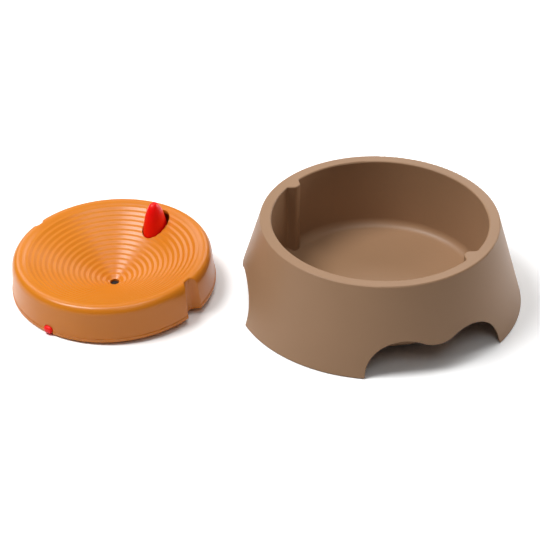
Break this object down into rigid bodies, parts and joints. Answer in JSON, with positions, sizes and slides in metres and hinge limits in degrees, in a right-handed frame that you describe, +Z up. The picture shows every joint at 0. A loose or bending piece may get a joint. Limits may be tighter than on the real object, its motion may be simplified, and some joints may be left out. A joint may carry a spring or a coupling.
{
  "type": "slow feeder dog bowl",
  "caption": "Round pet feeding bowl with a flared skirt, finger cut-outs and guide ribs, and a lift-out ridged feeding insert with a sliding thumb-lobe lock.",
  "frame": {"origin": "on the floor, at the middle of the box round the bowl and the insert beside it", "axes": "+Z up, +X from the insert towards the bowl, +Y away from the viewer"},
  "size_m": [0.4622, 0.2588, 0.0806],
  "materials": {
    "bowl_plastic": "satin brown moulded plastic",
    "insert_plastic": "satin orange moulded plastic",
    "lock_plastic": "glossy red moulded plastic",
    "pad_rubber": "soft dark grey rubber",
    "screw_steel": "bright zinc plated steel"
  },
  "bodies": {
    "bowl": {"bowl_body": "bowl_plastic", "bowl_foot_pads": "pad_rubber"},
    "insert": {"insert_dish": "insert_plastic", "insert_base": "insert_plastic", "hub_pad": "pad_rubber", "base_screws": "screw_steel"},
    "lock": {"lock_slider": "lock_plastic"}
  },
  "joints": [
    {"name": "insert_lift", "type": "slide", "parent": "bowl", "child": "insert", "axis": [0, 0, 1], "range_m": [0, 0.1]},
    {"name": "lock_slide", "type": "slide", "parent": "insert", "child": "lock", "axis": [0.5758, 0.817, 0.0316], "range_m": [0, 0.002]}
  ]
}
